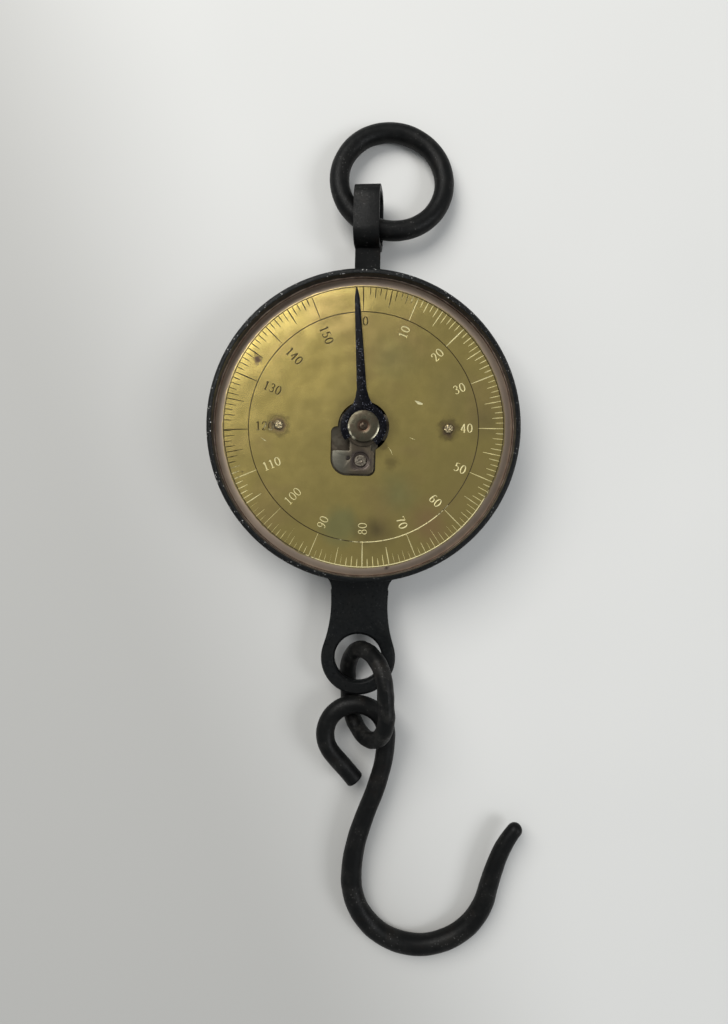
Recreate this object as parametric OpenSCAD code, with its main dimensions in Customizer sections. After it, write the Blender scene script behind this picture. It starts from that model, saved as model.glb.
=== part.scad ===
// Hanging dial spring balance, lying on its back.
// Origin on the pointer's axis at the flat back of the case: +Z out of the dial,
// +Y towards the suspension ring, +X to the right. Millimetres.

/* [Case] */
// Outside diameter of the iron case
case_d = 166; // [140:1:220]
// Height of the rim above the flat back
case_h = 36.5; // [34:0.5:50]
// Thickness of the round wall
case_wall = 2.8; // [2:0.1:5]
// Thickness of the flat back
case_back = 3; // [2:0.5:5]
// Chamfer round the rim and the back edge
case_chamfer = 1.2; // [0.5:0.1:2]

/* [Lug] */
// Distance from the case's edge to the middle of the lug hole
lug_reach = 43; // [38:0.5:60]
// Thickness of the lug plate
lug_t = 7; // [5:0.5:9]
// Diameter of the lug hole
lug_hole_d = 26; // [24:0.5:34]
// Iron left round the lug hole
lug_eye_wall = 7.5; // [5:0.5:10]
// Width of the lug at its narrowest
lug_neck_w = 31; // [24:1:36]
// Distance from the lug hole to the narrowest place
lug_neck_y = 30; // [24:1:34]
// Fillet between the lug and the case
lug_fillet = 9; // [4:0.5:12]
// Chamfer round the eye and the hole
lug_chamfer = 1.2; // [0.5:0.1:2]

/* [Dial] */
// Thickness of the brass dial
dial_t = 1.2; // [0.8:0.1:2]
// Depth of the dial's face below the rim
dial_recess = 8.3; // [8:0.1:9.5]
// Distance from the middle to each dial screw
dial_screw_x = 45.7; // [42:0.1:56]
// Diameter of a dial screw's shank
dial_screw_d = 3; // [2:0.1:4]
// Diameter of a dial screw's head
dial_screw_head_d = 5.2; // [4:0.1:8]

/* [Pointer] */
// Distance from the middle to the pointer's tip
pointer_len = 74; // [50:1:78]
// Rest angle of the pointer, counter-clockwise from the zero mark
pointer_rest = 4.2; // [0:0.1:10]
// Radius of the round boss
pointer_boss_r = 12.3; // [9:0.1:14]
// Thickness of the pointer
pointer_t = 1.2; // [0.8:0.1:1.4]
// Radius of the hub's round face inside the pointer's open boss
hub_r = 8.5; // [6:0.1:10]
// Height of the hub's underside above the dial's face
hub_lift = 1.9; // [1.6:0.1:2.4]

/* [Movement] */
// Module of the rack and pinion
gear_m = 0.7; // [0.5:0.1:0.8]
// Number of teeth on the pinion
pinion_z = 16; // [15:1:18]
// Width of the pinion
pinion_w = 5; // [3:0.5:6]
// Thickness of the rack
rack_t = 3; // [2:0.5:4]
// Diameter of the arbor between its pivots
arbor_d = 5; // [4:0.1:6]
// Diameter of the rear pivot
rear_pivot_d = 3; // [2:0.1:4]
// Diameter of the front journal, which carries the hub
front_pivot_d = 4; // [2:0.1:4.6]
// Radius of the cock's round end
cock_r = 8; // [6:0.1:10]
// Thickness of the bridge under the dial
bridge_t = 3; // [2:0.5:4]
// Outside diameter of a pillar
pillar_d = 8; // [6:0.5:10]

/* [Springs] */
// Distance from the middle to each spring's axis
spring_x = 28; // [24:0.5:32]
// Mean diameter of the coils
spring_d = 12.5; // [10:0.5:13]
// Diameter of the spring wire
spring_wire = 2.5; // [1.5:0.1:2.8]
// Number of turns
spring_turns = 18; // [12:1:19]
// Radius of the loop at each end
spring_loop_r = 5; // [4.8:0.1:5.6]
// Distance from the middle to the crosshead's lower edge at rest
crosshead_y = 22; // [18:1:24]
// Distance from the middle to the anchor bar's upper edge
anchor_y = 54; // [50:1:58]
// Width of the crosshead and the anchor bar
bar_w = 12; // [10:0.5:12]
// Half the length of the crosshead and the anchor bar
bar_half = 35; // [33:0.5:37]

/* [Strap] */
// Width of the strap
strap_w = 14; // [10:0.5:16]
// Thickness of the strap
strap_t = 5; // [4:0.5:6]
// Length of the straight strap showing above the case at rest
strap_out = 16.9; // [14:0.1:30]
// Travel of the strap from rest to the full load
strap_travel = 33.3; // [20:0.1:33.3]
// Length of the eye along the strap
eye_len = 34.2; // [33:0.2:44]
// Height of the eye from front to back
eye_h = 25; // [24:0.5:28]
// Thickness of the eye's legs
eye_leg = 3.4; // [3:0.1:4]
// Twist of the eye about the strap's length
eye_twist = 6.5; // [0:0.5:10]

/* [Ring] */
// Outside diameter of the suspension ring
ring_d = 70; // [66:1:90]
// Diameter of the ring's bar
ring_wire = 11.1; // [8:0.1:11.5]
// Angle of the ring to the right of straight
ring_yaw = 25.7; // [0:0.1:30]
// Place where the ring's bar crosses the eye, from the eye's start
ring_seat = 13.7; // [13:0.1:16]

/* [Link] */
// Diameter of the link's bar
link_wire = 9.6; // [7:0.1:9.8]
// Mean radius of the link's round ends
link_r = 18.5; // [18.5:0.1:22]
// Length of the link's straight sides
link_straight = 12.6; // [12:0.2:24]

/* [Hook] */
// Diameter of the hook's bar at the eye
hook_wire = 10.5; // [8:0.1:10.7]
// Diameter of the bar at the bottom of the bowl
hook_bowl_wire = 12; // [9:0.1:12]
// Diameter of the bar at the tip
hook_tip_wire = 8.8; // [6:0.1:10]
// Mean radius of the hook's eye
hook_eye_r = 16.9; // [16:0.1:20]
// Mean radius of the bowl
hook_bowl_r = 38.5; // [30:0.5:50]
// Distance from the middle of the eye to the middle of the bowl
hook_shank = 82; // [70:1:120]

/* [Hidden] */
$fn = 96;

// Clearances
running = 0.05;     // radial, a pivot in its hole
seated = 0.02;      // radial, a pressed or screwed piece in its hole
sliding = 0.3;      // each side, moving pieces that pass each other
past = 1;           // how far a cut runs past the face that it opens

// Case and lug
case_r = case_d / 2;
bore_r = case_r - case_wall;
mid_z = 14.5;       // height of the plane that the lug, strap and springs share
lug_y = -(case_r + lug_reach);
lug_hole_r = lug_hole_d / 2;
lug_eye_r = lug_hole_r + lug_eye_wall;
lug_z = mid_z - lug_t / 2;
neck_half = lug_neck_w / 2;
flank_r = (neck_half * neck_half + lug_neck_y * lug_neck_y - lug_eye_r * lug_eye_r)
          / (2 * (lug_eye_r - neck_half));
flank_x = neck_half + flank_r;
fillet_x = neck_half + lug_fillet;
fillet_y = -sqrt(pow(case_r + lug_fillet, 2) - fillet_x * fillet_x);

// Dial, bridge and cock
dial_top = case_h - dial_recess;
dial_z = dial_top - dial_t;
dial_r = bore_r - sliding;
bridge_z = dial_z - bridge_t;
bridge_half = dial_screw_x + 6;
bridge_w = 14;
bridge_corner = 5;
pillar_tenon_r = pillar_d / 3;
dial_screw_depth = 6;                    // of the dial screws below the bridge
dial_screw_head_h = 1.3;
hub_z = dial_top + hub_lift;
flange_t = 0.8;
flange_r = hub_r + 2.2;
pointer_z = hub_z + flange_t;
hub_crown = 1.3;                         // height of the hub above the pointer
hub_round = 0.9;
hub_top = pointer_z + pointer_t + hub_crown;
arbor_proud = 0.3;                       // of the arbor's end above the hub
boss_gap = [-56, 32];                    // opening in the boss, each way from straight below the needle
needle_half = [[8, 9.5], [5, 12], [3.6, 15.5], [2.6, 20], [2.2, 35], [1.6, 60], [1.3, 69]];
tip_half = 0.3;
cock_top = hub_z - sliding;
opening_r = pointer_boss_r + 1.5;
foot = [[-16.4, -25.4], [5.8, -13]];     // corners of the cock's foot in plan
foot_gap = 1;                            // dial opening round the foot
foot_seat = 2;                           // bridge showing past the foot
foot_corner = 3;
foot_big_corner = 8;
waist_w = 11.4;
waist_x = -1.5;
cock_screw_at = [-1.3, -18.2];
cock_screw_r = 1.8;
cock_head_r = 3.2;
cock_head_h = 1.3;
cock_recess_r = 4.6;
cock_recess_h = 1.6;
cock_slot = 0.9;
cock_slot_turn = 35;
cock_pin_at = [-8, -17];
cock_pin_r = 1.1;
cock_pin_sunk = 0.4;

// Arbor, rack and pinion
pitch_r = gear_m * pinion_z / 2;
backlash = 0.14;
pressure = 20;
rack_addendum = 0.9 * gear_m;
dedendum = 1.25 * gear_m;
pinion_z0 = 7.5;
rack_z = pinion_z0 + (pinion_w - rack_t) / 2;
tooth_pitch = PI * gear_m;
rack_side = 5;      // how far the rack's back stands out beside the strap
rack_back_x = -(strap_w / 2 + rack_side);
rack_past = 7.5;    // of the rack below the pinion at the end of the travel
rack_head = 3;      // of the rack beyond its pin
rack_mid_x = (rack_back_x - pitch_r - dedendum) / 2;
rack_pin_r = 1.2;
bush_r = 4;
bush_z = 1.5;
boss_r = 8;
boss_top = 6;
arbor_z = boss_top + sliding;
bush_floor = 1;

// Strap, crosshead, anchor bar and springs
strap_z = mid_z - strap_t / 2;
strap_top = mid_z + strap_t / 2;
eye_y = case_r + strap_out;
eye_corner = 9;
eye_inner_corner = 5.5;
rivet_r = 2;
rivet_head_r = 3.4;
rivet_head_h = 1.4;
rivet_inset = 3;
stop_r = 2;
stop_reach = 3;
stop_y = bore_r - strap_travel - stop_r - sliding;
hole_r = spring_wire / 2 + 1.75;
crosshead_hole_y = crosshead_y + spring_loop_r;
anchor_hole_y = -anchor_y - spring_loop_r;
anchor_screw_x = 13;
anchor_screw_y = -anchor_y - bar_w / 2;
anchor_screw_r = 2;
anchor_head_r = 4;
anchor_head_h = 2.4;
anchor_slot = 1.2;
anchor_boss_r = anchor_screw_r + 3;
anchor_thread_z = case_back + 3;
bar_corner = 3;
leaf_t = 0.6;
leaf_len = 30;
leaf_foot = 6;      // width of the leaf's foot
leaf_foot_half = 4; // half its length
leaf_set = 1.8;     // how far the leaf springs back from its foot to the rack
leaf_x = rack_back_x - leaf_t;
leaf_root_x = leaf_x - leaf_set;
leaf_rivet_x = leaf_root_x - leaf_foot / 2;
spring_half = (crosshead_y + anchor_y) / 2;
spring_gap = 1.5;   // between the coils and each end loop
spring_body = 2 * (spring_half - spring_loop_r - spring_wire - spring_gap);
wind_in = 0.5;      // turns over which a coil winds in to the axis

// Ring, link and hook
ring_r = (ring_d - ring_wire) / 2;
ring_y = eye_y + ring_seat;
ring_drop = asin((mid_z - ring_wire / 2) / (2 * ring_r));
link_turn = 4.3;
link_pitch = 3.1;
link_lean = 56.6;
link_dir = [-sin(link_turn) * cos(link_pitch), cos(link_turn) * cos(link_pitch), sin(link_pitch)];
link_reach = link_straight / 2 + link_r;
link_head = [3.243, lug_y - lug_hole_r + 18.394, 22.241];      // the bar's middle, at its upper end
link_at = link_head - link_reach * link_dir;
link_foot = link_at - link_reach * link_dir;
hook_at = [link_foot[0] - 7.257, link_foot[1] + 17.994 - hook_eye_r, 14.39];
hook_turn = -0.4;
hook_tilt = asin((hook_at[2] - hook_bowl_wire / 2) / (hook_shank + hook_bowl_r));
hook_tail = 20;
hook_curl = 223;
bowl_end = 348;
hook_tip = [hook_bowl_r + 52, -hook_shank + 29.9];
tip_dir = [0.6, 0.8];
shank_pull = 0.42;  // share of the shank over which it swings from the eye to the bowl
tip_pull = [12, 14];
bowl_taper = 0.3;
tail_taper = 0.1;

// ---------- shared shapes ----------

function unit(v) = v / norm(v);
function arc(c, r, a0, a1, n) = [for (i = [0:n]) let (a = a0 + (a1 - a0) * i / n) c + r * [cos(a), sin(a)]];
function bezier(a, b, c, d, n) =
    [for (i = [1:n]) let (t = i / n, s = 1 - t)
        s * s * s * a + 3 * s * s * t * b + 3 * s * t * t * c + t * t * t * d];
function solid(p) = [for (q = p) [q[0], q[1], 0]];

// A plate's outline with its own radius at each corner, from the lower left round to the right
function plate_outline(low, high, r) =
    concat(arc([low[0] + r[0], low[1] + r[0]], r[0], 180, 270, 8),
           arc([high[0] - r[1], low[1] + r[1]], r[1], 270, 360, 8),
           arc([high[0] - r[2], high[1] - r[2]], r[2], 0, 90, 8),
           arc([low[0] + r[3], high[1] - r[3]], r[3], 90, 180, 8));

function tangents(p) =
    [for (i = [0:len(p) - 1]) unit(p[min(i + 1, len(p) - 1)] - p[max(i - 1, 0)])];
function across(v, t) = unit(v - (v * t) * t);
function carried(t, first) =
    [for (i = 0, n = across(first, t[0]); i < len(t);
          i = i + 1, n = i < len(t) ? across(n, t[i]) : n) n];

// A round bar along a list of points, with a radius at each point
module bar_along(p, radii, first, sides) {
    t = tangents(p);
    n = carried(t, first);
    rings = len(p);
    points = [for (i = [0:rings - 1], j = [0:sides - 1])
        let (a = 360 * j / sides)
            p[i] + radii[i] * (cos(a) * n[i] + sin(a) * cross(t[i], n[i]))];
    walls = [for (i = [0:rings - 2], j = [0:sides - 1], half = [0, 1])
        let (k = (j + 1) % sides, a = i * sides, b = a + sides)
            half == 0 ? [a + j, b + j, b + k] : [a + j, b + k, a + k]];
    ends = [[for (j = [0:sides - 1]) j],
            [for (j = [sides - 1:-1:0]) (rings - 1) * sides + j]];
    polyhedron(points, concat(walls, ends), convexity = 10);
}

module at(p, z) {
    translate([p[0], p[1], z]) children();
}

module both_sides() {
    children();
    mirror([1, 0, 0]) children();
}

// ---------- case ----------

module case_dish() {
    rotate_extrude()
        polygon([[0, 0], [case_r - case_chamfer, 0], [case_r, case_chamfer],
                 [case_r, case_h - case_chamfer], [case_r - case_chamfer, case_h],
                 [bore_r, case_h], [bore_r, case_back], [0, case_back]]);
}

module lug_blank() {
    translate([0, lug_y, 0])
        rotate_extrude()
            polygon([[0, lug_z], [lug_eye_r - lug_chamfer, lug_z], [lug_eye_r, lug_z + lug_chamfer],
                     [lug_eye_r, lug_z + lug_t - lug_chamfer], [lug_eye_r - lug_chamfer, lug_z + lug_t],
                     [0, lug_z + lug_t]]);
    eye_tangent_y = lug_y + lug_neck_y * lug_eye_r / (flank_r + lug_eye_r);
    difference() {
        translate([-fillet_x, eye_tangent_y, lug_z])
            cube([2 * fillet_x, fillet_y - eye_tangent_y, lug_t]);
        both_sides() at([flank_x, lug_y + lug_neck_y], lug_z - past)
            cylinder(r = flank_r, h = lug_t + 2 * past);
    }
    difference() {
        translate([-fillet_x, fillet_y - past, lug_z])
            cube([2 * fillet_x, past - fillet_y - bore_r + case_wall / 2 + lug_fillet, lug_t]);
        both_sides() at([fillet_x, fillet_y], lug_z - past) cylinder(r = lug_fillet, h = lug_t + 2 * past);
        at([0, 0], lug_z - past) cylinder(r = bore_r + case_wall / 2, h = lug_t + 2 * past);
    }
}

module lug_hole() {
    at([0, lug_y], lug_z - past) cylinder(r = lug_hole_r, h = lug_t + 2 * past);
    at([0, lug_y], lug_z) cylinder(r1 = lug_hole_r + lug_chamfer, r2 = lug_hole_r, h = lug_chamfer);
    at([0, lug_y], lug_z + lug_t - lug_chamfer)
        cylinder(r1 = lug_hole_r, r2 = lug_hole_r + lug_chamfer, h = lug_chamfer);
}

module strap_slot() {
    translate([-strap_w / 2 - sliding, bore_r - case_wall, strap_z - sliding])
        cube([strap_w + 2 * sliding, 3 * case_wall, strap_t + 2 * sliding]);
}

module case() {
    color([0.07, 0.07, 0.07])
        difference() {
            union() {
                case_dish();
                lug_blank();
                at([0, 0], case_back) cylinder(r = boss_r, h = boss_top - case_back);
                both_sides() at([anchor_screw_x, anchor_screw_y], case_back)
                    cylinder(r = anchor_boss_r, h = strap_z - case_back);
            }
            lug_hole();
            strap_slot();
            at([0, 0], bush_z) cylinder(r = bush_r + seated, h = boss_top);
            both_sides() at([dial_screw_x, 0], -past)
                cylinder(r = pillar_tenon_r + seated, h = case_back + 2 * past);
            both_sides() at([anchor_screw_x, anchor_screw_y], anchor_thread_z - past)
                cylinder(r = anchor_screw_r + seated, h = strap_z);
        }
}

module rear_bush() {
    color([0.66, 0.52, 0.26])
        at([0, 0], bush_z) difference() {
            cylinder(r = bush_r, h = boss_top - bush_z);
            translate([0, 0, bush_floor]) cylinder(r = rear_pivot_d / 2 + running, h = boss_top);
        }
}

// ---------- dial, bridge and cock ----------

module dial_opening() {
    at([0, 0], dial_z - past) cylinder(r = opening_r, h = dial_t + 2 * past);
    translate([0, 0, dial_z - past]) linear_extrude(dial_t + 2 * past)
        polygon(plate_outline(foot[0] - [foot_gap, foot_gap], [foot[1][0] + foot_gap, 0],
                              [foot_big_corner + foot_gap, foot_corner + foot_gap, 1, foot_corner]));
}

module dial_plate() {
    color([0.70, 0.62, 0.40])
        difference() {
            at([0, 0], dial_z) cylinder(r = dial_r, h = dial_t);
            dial_opening();
            both_sides() at([dial_screw_x, 0], dial_z - past)
                cylinder(r = dial_screw_d / 2 + seated, h = dial_t + 2 * past);
        }
}

module dial_screws() {
    color([0.62, 0.50, 0.30])
        both_sides() at([dial_screw_x, 0], 0) rotate_extrude()
            polygon([[0, bridge_z - dial_screw_depth], [dial_screw_d / 2, bridge_z - dial_screw_depth],
                     [dial_screw_d / 2, dial_top], [dial_screw_head_d / 2, dial_top],
                     [dial_screw_head_d / 2, dial_top + 0.4 * dial_screw_head_h],
                     [dial_screw_head_d / 3, dial_top + 0.85 * dial_screw_head_h],
                     [0, dial_top + dial_screw_head_h]]);
}

module dial_pillars() {
    color([0.45, 0.45, 0.45])
        both_sides() at([dial_screw_x, 0], 0) difference() {
            union() {
                cylinder(r = pillar_tenon_r, h = case_back);
                translate([0, 0, case_back]) cylinder(r = pillar_d / 2, h = bridge_z - case_back);
            }
            translate([0, 0, bridge_z - dial_screw_depth - 2 * past])
                cylinder(r = dial_screw_d / 2 + seated, h = dial_screw_depth + 3 * past);
        }
}

module bridge() {
    color([0.40, 0.40, 0.38])
        difference() {
            union() {
                translate([0, 0, bridge_z]) linear_extrude(bridge_t)
                    polygon(plate_outline([-bridge_half, -bridge_w / 2], [bridge_half, bridge_w / 2],
                                          bridge_corner * [1, 1, 1, 1]));
                translate([0, 0, bridge_z]) linear_extrude(bridge_t)
                    polygon(plate_outline(foot[0] - [foot_seat, foot_seat], [foot[1][0] + foot_seat, 0],
                                          [foot_big_corner, foot_corner, 1, 1]));
            }
            at([0, 0], bridge_z - past) cylinder(r = arbor_d / 2 + 2 * sliding, h = bridge_t + 2 * past);
            both_sides() at([dial_screw_x, 0], bridge_z - past)
                cylinder(r = dial_screw_d / 2 + seated, h = bridge_t + 2 * past);
            at(cock_screw_at, bridge_z - past) cylinder(r = cock_screw_r + seated, h = bridge_t + 2 * past);
            at(cock_pin_at, bridge_z - past) cylinder(r = cock_pin_r + seated, h = bridge_t + 2 * past);
        }
}

module cock() {
    color([0.50, 0.45, 0.38])
        difference() {
            translate([0, 0, dial_z]) union() {
                linear_extrude(cock_top - dial_z)
                    polygon(plate_outline(foot[0], foot[1], [foot_big_corner, foot_corner, 1, 1]));
                translate([waist_x - waist_w / 2, foot[1][1] - past, 0])
                    cube([waist_w, -foot[1][1] + past, cock_top - dial_z]);
                cylinder(r = cock_r, h = cock_top - dial_z);
            }
            at([0, 0], dial_z - past) cylinder(r = front_pivot_d / 2 + running, h = cock_top);
            at(cock_screw_at, dial_z - past) cylinder(r = cock_screw_r + seated, h = cock_top);
            at(cock_screw_at, cock_top - cock_recess_h) cylinder(r = cock_recess_r, h = cock_recess_h + past);
            at(cock_pin_at, dial_z - past) cylinder(r = cock_pin_r + seated, h = cock_top);
        }
}

module cock_screw() {
    head_z = cock_top - cock_recess_h;
    color([0.45, 0.42, 0.38])
        at(cock_screw_at, 0) difference() {
            union() {
                translate([0, 0, bridge_z]) cylinder(r = cock_screw_r, h = head_z - bridge_z);
                translate([0, 0, head_z]) cylinder(r = cock_head_r, h = cock_head_h);
            }
            translate([0, 0, head_z + cock_head_h]) rotate([0, 0, cock_slot_turn])
                cube([2 * cock_head_r + past, cock_slot, cock_head_h], center = true);
        }
}

module cock_pin() {
    color([0.35, 0.33, 0.30])
        at(cock_pin_at, bridge_z) cylinder(r = cock_pin_r, h = cock_top - bridge_z - cock_pin_sunk);
}

// ---------- anchor bar and springs ----------

module bar_plate(y0, z0, h) {
    translate([0, 0, z0]) linear_extrude(h)
        polygon(plate_outline([-bar_half, y0], [bar_half, y0 + bar_w], bar_corner * [1, 1, 1, 1]));
}

module anchor_bar() {
    color([0.30, 0.30, 0.31])
        difference() {
            bar_plate(-anchor_y - bar_w, strap_z, strap_t);
            both_sides() at([spring_x, anchor_hole_y], strap_z - past)
                cylinder(r = hole_r, h = strap_t + 2 * past);
            both_sides() at([anchor_screw_x, anchor_screw_y], strap_z - past)
                cylinder(r = anchor_screw_r + seated, h = strap_t + 2 * past);
        }
}

module anchor_screws() {
    color([0.36, 0.36, 0.36])
        both_sides() at([anchor_screw_x, anchor_screw_y], 0) difference() {
            union() {
                translate([0, 0, anchor_thread_z])
                    cylinder(r = anchor_screw_r, h = strap_top - anchor_thread_z);
                translate([0, 0, strap_top]) cylinder(r = anchor_head_r, h = anchor_head_h);
            }
            translate([0, 0, strap_top + anchor_head_h])
                cube([2 * anchor_head_r + past, anchor_slot, anchor_head_h], center = true);
        }
}

// One extension spring, centred on its own middle along Y: an open loop round the edge of each
// bar, and coils that wind in to the axis over their first and last half turn

function end_loop(end) =
    [for (a = [180:-20:-100]) end * [0, spring_half + spring_loop_r * cos(a), spring_loop_r * sin(a)]];
function coil_point(turn) =
    let (r = spring_d / 2 * min(1, turn / wind_in + 0.05, (spring_turns - turn) / wind_in + 0.05))
        [r * sin(360 * turn), spring_body * (turn / spring_turns - 0.5), r * cos(360 * turn)];
function reversed(p) = [for (i = [len(p) - 1:-1:0]) p[i]];

module extension_spring() {
    coil = [for (turn = [0:1 / 16:spring_turns]) coil_point(turn)];
    path = concat(reversed(end_loop(-1)), coil, end_loop(1));
    bar_along(path, [for (p = path) spring_wire / 2], [1, 0, 0], 8);
}

module spring_at(side) {
    color([0.33, 0.33, 0.35])
        translate([side * spring_x, (crosshead_y - anchor_y) / 2, mid_z]) extension_spring();
}

module spring_left() {
    spring_at(-1);
}

module spring_right() {
    spring_at(1);
}

// ---------- strap, crosshead, rack ----------

// A rounded block lying along Y, as wide as w along X
module eye_block(y0, y1, h, corner, w) {
    translate([-w / 2, 0, 0]) rotate([90, 0, 90]) linear_extrude(w)
        polygon(plate_outline([y0, -h / 2], [y1, h / 2], [corner, corner, corner, corner]));
}

module strap() {
    color([0.16, 0.15, 0.15])
        difference() {
            union() {
                translate([-strap_w / 2, crosshead_y, strap_z]) cube([strap_w, bar_w, strap_t / 2]);
                translate([-strap_w / 2, crosshead_y + bar_w, strap_z])
                    cube([strap_w, eye_y + eye_leg / 2 - crosshead_y - bar_w, strap_t]);
                translate([0, eye_y, mid_z]) rotate([0, -eye_twist, 0]) difference() {
                    eye_block(0, eye_len, eye_h, eye_corner, strap_w);
                    eye_block(eye_leg, eye_len - eye_leg, eye_h - 2 * eye_leg, eye_inner_corner,
                              strap_w + 2 * past);
                }
            }
            for (y = [rivet_inset, bar_w - rivet_inset]) at([0, crosshead_y + y], strap_z - past)
                cylinder(r = rivet_r + seated, h = strap_t);
            at([0, stop_y], strap_z - past) cylinder(r = stop_r + seated, h = strap_t + 2 * past);
        }
}

module crosshead() {
    color([0.30, 0.30, 0.31])
        difference() {
            bar_plate(crosshead_y, strap_z, strap_t);
            translate([-strap_w / 2 - seated, crosshead_y - past, strap_z - past])
                cube([strap_w + 2 * seated, bar_w + 2 * past, strap_t / 2 + past]);
            for (y = [rivet_inset, bar_w - rivet_inset]) at([0, crosshead_y + y], strap_z)
                cylinder(r = rivet_r + seated, h = strap_t + past);
            both_sides() at([spring_x, crosshead_hole_y], strap_z - past)
                cylinder(r = hole_r, h = strap_t + 2 * past);
            at([rack_mid_x, crosshead_y + bar_w / 2], strap_z - past)
                cylinder(r = rack_pin_r + seated, h = strap_t + 2 * past);
            at([leaf_rivet_x, crosshead_y + bar_w / 2], strap_z - past)
                cylinder(r = rack_pin_r + seated, h = strap_t + 2 * past);
        }
}

module rivet(r, head, z0, z1) {
    translate([0, 0, z0]) cylinder(r = r, h = z1 - z0);
    translate([0, 0, z1]) cylinder(r1 = head, r2 = head * 0.6, h = rivet_head_h);
    translate([0, 0, z0 - rivet_head_h]) cylinder(r1 = head * 0.6, r2 = head, h = rivet_head_h);
}

module crosshead_rivets() {
    color([0.42, 0.42, 0.43]) {
        for (y = [rivet_inset, bar_w - rivet_inset]) at([0, crosshead_y + y], 0)
            rivet(rivet_r, rivet_head_r, strap_z, strap_top);
        at([leaf_rivet_x, crosshead_y + bar_w / 2], 0)
            rivet(rack_pin_r, 2 * rack_pin_r, strap_z - leaf_t, strap_top);
    }
}

module stop_pin() {
    color([0.42, 0.42, 0.43])
        at([0, stop_y], strap_z - stop_reach) cylinder(r = stop_r, h = strap_t + 2 * stop_reach);
}

module rack() {
    low_y = -strap_travel - rack_past;
    first = ceil(low_y / tooth_pitch) + 1;
    root_x = -pitch_r - dedendum;
    half = tooth_pitch / 4 - backlash / 2;
    slope = tan(pressure);
    color([0.62, 0.52, 0.32])
        difference() {
            translate([0, 0, rack_z]) linear_extrude(rack_t) union() {
                polygon(plate_outline([rack_back_x, low_y], [root_x, crosshead_y + bar_w / 2 + rack_head],
                                      [1, 1, 2, 2]));
                for (k = [first:2]) translate([-pitch_r, (k + 0.5) * tooth_pitch])
                    polygon([[-dedendum - 0.1, -half - dedendum * slope],
                             [rack_addendum, -half + rack_addendum * slope],
                             [rack_addendum, half - rack_addendum * slope],
                             [-dedendum - 0.1, half + dedendum * slope]]);
            }
            at([rack_mid_x, crosshead_y + bar_w / 2], rack_z - past)
                cylinder(r = rack_pin_r + running, h = rack_t + 2 * past);
        }
}

module rack_pin() {
    color([0.42, 0.42, 0.43])
        at([rack_mid_x, crosshead_y + bar_w / 2], 0) rivet(rack_pin_r, 2 * rack_pin_r, rack_z, strap_top);
}

// The leaf that holds the rack against the pinion, with its foot under the crosshead
module rack_spring() {
    mid_y = crosshead_y + bar_w / 2;
    tip_x = leaf_x - seated;
    color([0.30, 0.31, 0.36])
        difference() {
            union() {
                translate([0, mid_y, rack_z]) linear_extrude(strap_z - rack_z)
                    polygon([[leaf_root_x, leaf_foot_half], [leaf_root_x, -leaf_foot_half],
                             [tip_x, -leaf_len], [tip_x + leaf_t, -leaf_len],
                             [leaf_root_x + leaf_t, -leaf_foot_half],
                             [leaf_root_x + leaf_t, leaf_foot_half]]);
                translate([leaf_root_x - leaf_foot, mid_y - leaf_foot_half, strap_z - leaf_t])
                    cube([leaf_foot + leaf_t, 2 * leaf_foot_half, leaf_t]);
            }
            at([leaf_rivet_x, mid_y], strap_z - leaf_t - past)
                cylinder(r = rack_pin_r + seated, h = leaf_t + 2 * past);
        }
}

// ---------- arbor, pinion and pointer ----------

module arbor() {
    shoulder_z = dial_z - sliding;
    color([0.55, 0.55, 0.57]) {
        at([0, 0], bush_z + bush_floor + sliding)
            cylinder(r = rear_pivot_d / 2, h = arbor_z - bush_z - bush_floor - sliding);
        at([0, 0], arbor_z) cylinder(r = arbor_d / 2, h = shoulder_z - arbor_z);
        at([0, 0], shoulder_z) cylinder(r = front_pivot_d / 2, h = hub_top + arbor_proud - shoulder_z);
    }
}

function roll(r, base) = let (f = acos(min(1, base / r))) tan(f) * 180 / PI - f;
function tooth_half(r, base) =
    (tooth_pitch / 2 - backlash) / (2 * pitch_r) * 180 / PI + roll(pitch_r, base) - roll(max(r, base), base);

module pinion() {
    base = pitch_r * cos(pressure);
    root = pitch_r - dedendum;
    tip = pitch_r + gear_m;
    radii = [root, base, pitch_r - 0.1, (pitch_r + tip) / 2, tip];
    outline = [for (k = [0:pinion_z - 1], side = [-1, 1], i = [0:4])
        let (r = side < 0 ? radii[i] : radii[4 - i],
             a = 180 + 360 * k / pinion_z + side * tooth_half(r, base))
            r * [cos(a), sin(a)]];
    color([0.66, 0.55, 0.32])
        translate([0, 0, pinion_z0]) difference() {
            linear_extrude(pinion_w) polygon(outline);
            translate([0, 0, -past]) cylinder(r = arbor_d / 2 + seated, h = pinion_w + 2 * past);
        }
}

module pointer_hub() {
    color([0.50, 0.45, 0.38])
        difference() {
            rotate_extrude()
                polygon([[0, hub_z], [flange_r, hub_z], [flange_r, pointer_z], [hub_r, pointer_z],
                         [hub_r, hub_top - hub_round], [hub_r - hub_round, hub_top - hub_round / 4],
                         [hub_r / 2, hub_top],
                         [0, hub_top]]);
            at([0, 0], hub_z - past) cylinder(r = front_pivot_d / 2 + seated, h = hub_top);
        }
}

// Half widths of the needle at distances from the middle: flare, blade and point
module needle() {
    right = concat(needle_half, [[tip_half, pointer_len]]);
    left = [for (i = [len(right) - 1:-1:0]) [-right[i][0], right[i][1]]];
    polygon(concat(right, left));
}

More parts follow.
